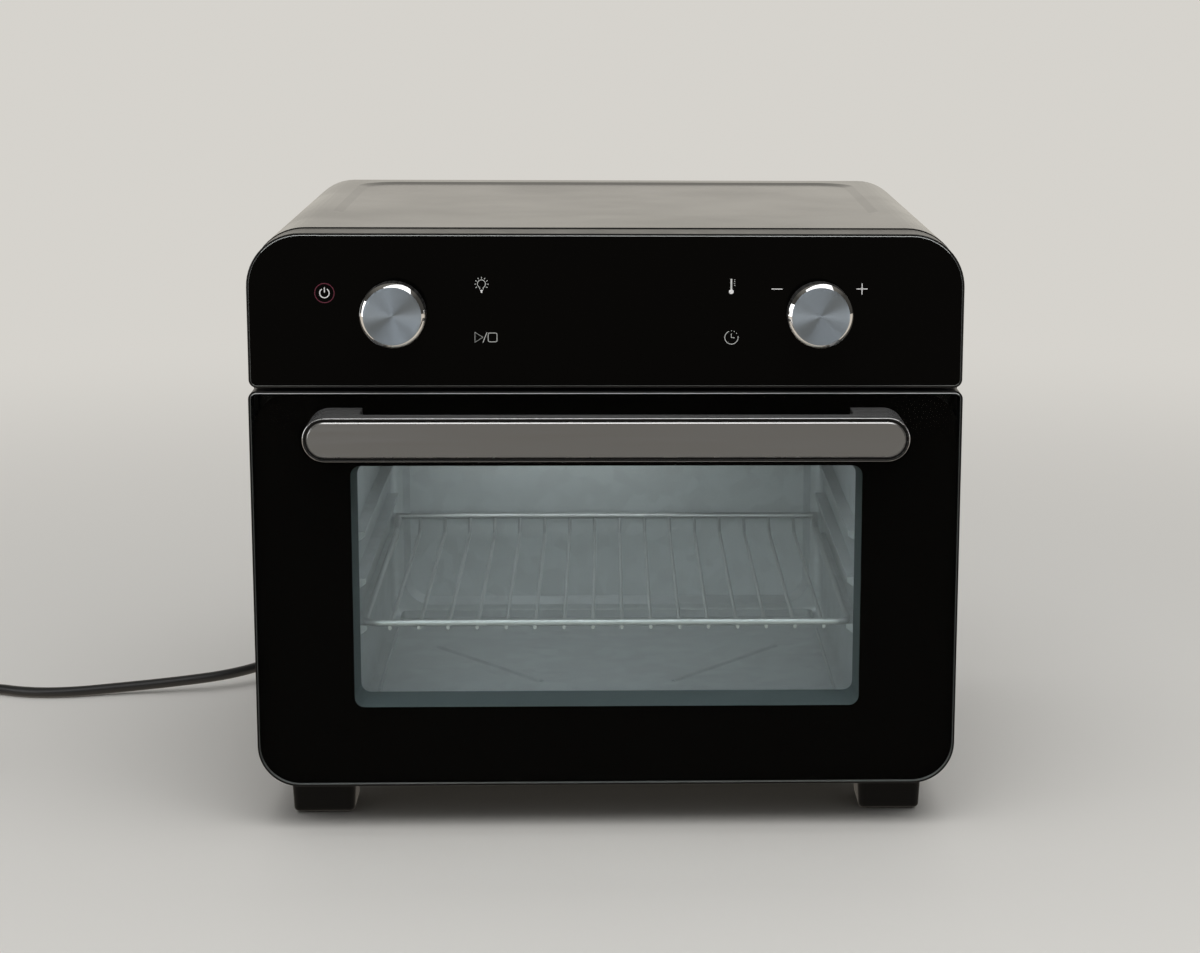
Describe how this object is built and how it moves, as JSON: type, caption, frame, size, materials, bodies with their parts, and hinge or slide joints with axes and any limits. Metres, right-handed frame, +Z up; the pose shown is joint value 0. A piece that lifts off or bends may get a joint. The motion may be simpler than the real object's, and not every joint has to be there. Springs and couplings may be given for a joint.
{
  "type": "mini oven",
  "caption": "Table-top hot-air oven with a drop-down glass door, bar handle, glass control panel with rotary knobs, wire rack, crumb tray and mains lead.",
  "frame": {"origin": "on the table, under the middle of the oven without its free lead and plug", "axes": "+X to the right of someone facing the door, +Y to the back, +Z up"},
  "size_m": [0.7673, 0.4641, 0.3726],
  "materials": {
    "wrap_enamel": "semi-gloss black enamel on folded steel",
    "zinc_sheet": "zinc-coated sheet steel",
    "liner_steel": "aluminised sheet steel, bluish grey, dull",
    "seal_silicone": "dark grey silicone",
    "bezel_plastic": "black heat-resistant plastic, fine satin",
    "control_glass": "glossy glass printed black from behind",
    "door_glass": "glossy glass, black border round a tinted window",
    "inner_glass": "clear heat-resistant glass",
    "circuit_board": "green solder resist",
    "display": "dark display module",
    "white_plastic": "off-white ceramic-like plastic",
    "heater_sheath": "dark oxidised steel sheath",
    "motor_steel": "plain steel",
    "lamp_glass": "clear glass",
    "foot_plastic": "matt black moulded plastic",
    "pad_rubber": "black rubber",
    "screw_steel": "bright zinc-plated steel",
    "dark_screw": "blackened steel",
    "cord_jacket": "black flexible jacket, slight sheen",
    "pin_nickel": "nickel-plated brass",
    "knob_aluminium": "spun aluminium with a polished chamfer",
    "handle_aluminium": "anodised aluminium",
    "handle_face": "satin inlay, warm grey",
    "rack_chrome": "bright wire",
    "tray_steel": "aluminised sheet steel"
  },
  "bodies": {
    "cabinet": {"cabinet_wrap": "wrap_enamel", "base_pan": "zinc_sheet", "rear_panel": "wrap_enamel", "cavity_liner": "liner_steel", "front_frame": "zinc_sheet", "door_seal": "seal_silicone", "heat_shield": "zinc_sheet", "control_bezel": "bezel_plastic", "control_glass": "control_glass", "control_board": "circuit_board", "display_module": "display", "power_board": "circuit_board", "terminal_block": "white_plastic", "top_heater": "heater_sheath", "bottom_heater": "heater_sheath", "fan_guard": "liner_steel", "motor_bracket": "zinc_sheet", "fan_motor": "motor_steel", "lamp_holder": "white_plastic", "lamp_bulb": "lamp_glass", "lamp_cover": "lamp_glass", "temperature_probe": "heater_sheath", "thermal_cutout": "motor_steel", "feet": "foot_plastic", "foot_pads": "pad_rubber", "foot_screws": "screw_steel", "rear_spacers": "foot_plastic", "spacer_screws": "screw_steel", "wrap_screws": "dark_screw", "strain_relief": "cord_jacket", "encoder_left": "motor_steel", "encoder_right": "motor_steel", "hinge_bracket_left": "zinc_sheet", "hinge_bracket_right": "zinc_sheet", "cord_lead": "cord_jacket", "cord_coil": "cord_jacket", "cord_tail": "cord_jacket", "plug": "cord_jacket", "plug_pins": "pin_nickel"},
    "door": {"door_frame": "bezel_plastic", "door_outer_glass": "door_glass", "door_inner_glass": "inner_glass", "handle_bar": "handle_aluminium", "handle_face": "handle_face", "handle_screws": "screw_steel", "hinge_leaf_left": "zinc_sheet", "hinge_leaf_right": "zinc_sheet", "hinge_pin_left": "screw_steel", "hinge_pin_right": "screw_steel"},
    "left_knob": {"encoder_shaft_left": "motor_steel", "knob_core_left": "foot_plastic", "knob_cap_left": "knob_aluminium"},
    "right_knob": {"encoder_shaft_right": "motor_steel", "knob_core_right": "foot_plastic", "knob_cap_right": "knob_aluminium"},
    "fan": {"fan_shaft": "motor_steel", "hot_air_fan": "zinc_sheet", "cooling_fan": "foot_plastic"},
    "rack": {"wire_rack": "rack_chrome"},
    "tray": {"crumb_tray": "tray_steel"}
  },
  "joints": [
    {"name": "door_hinge", "type": "hinge", "parent": "cabinet", "child": "door", "pos_m": [0, -0.141, 0.032], "axis": [1, 0, 0], "range_deg": [0, 80]},
    {"name": "left_knob_turn", "type": "hinge", "parent": "cabinet", "child": "left_knob", "pos_m": [-0.127, -0.1635, 0.3228], "axis": [0, 1, 0], "continuous": true},
    {"name": "right_knob_turn", "type": "hinge", "parent": "cabinet", "child": "right_knob", "pos_m": [0.127, -0.1635, 0.3228], "axis": [0, 1, 0], "continuous": true},
    {"name": "fan_spin", "type": "hinge", "parent": "cabinet", "child": "fan", "pos_m": [0, 0.0085, 0.29], "axis": [0, 0, 1], "continuous": true},
    {"name": "rack_slide", "type": "slide", "parent": "cabinet", "child": "rack", "axis": [0, -1, 0], "range_m": [0, 0.14]},
    {"name": "tray_slide", "type": "slide", "parent": "cabinet", "child": "tray", "axis": [0, -1, 0], "range_m": [0, 0.042]}
  ],
  "couplings": [
    {"joint": "rack_slide", "follows": "door_hinge", "m_per_rad": 0.1},
    {"joint": "tray_slide", "follows": "door_hinge", "m_per_rad": 0.03}
  ]
}
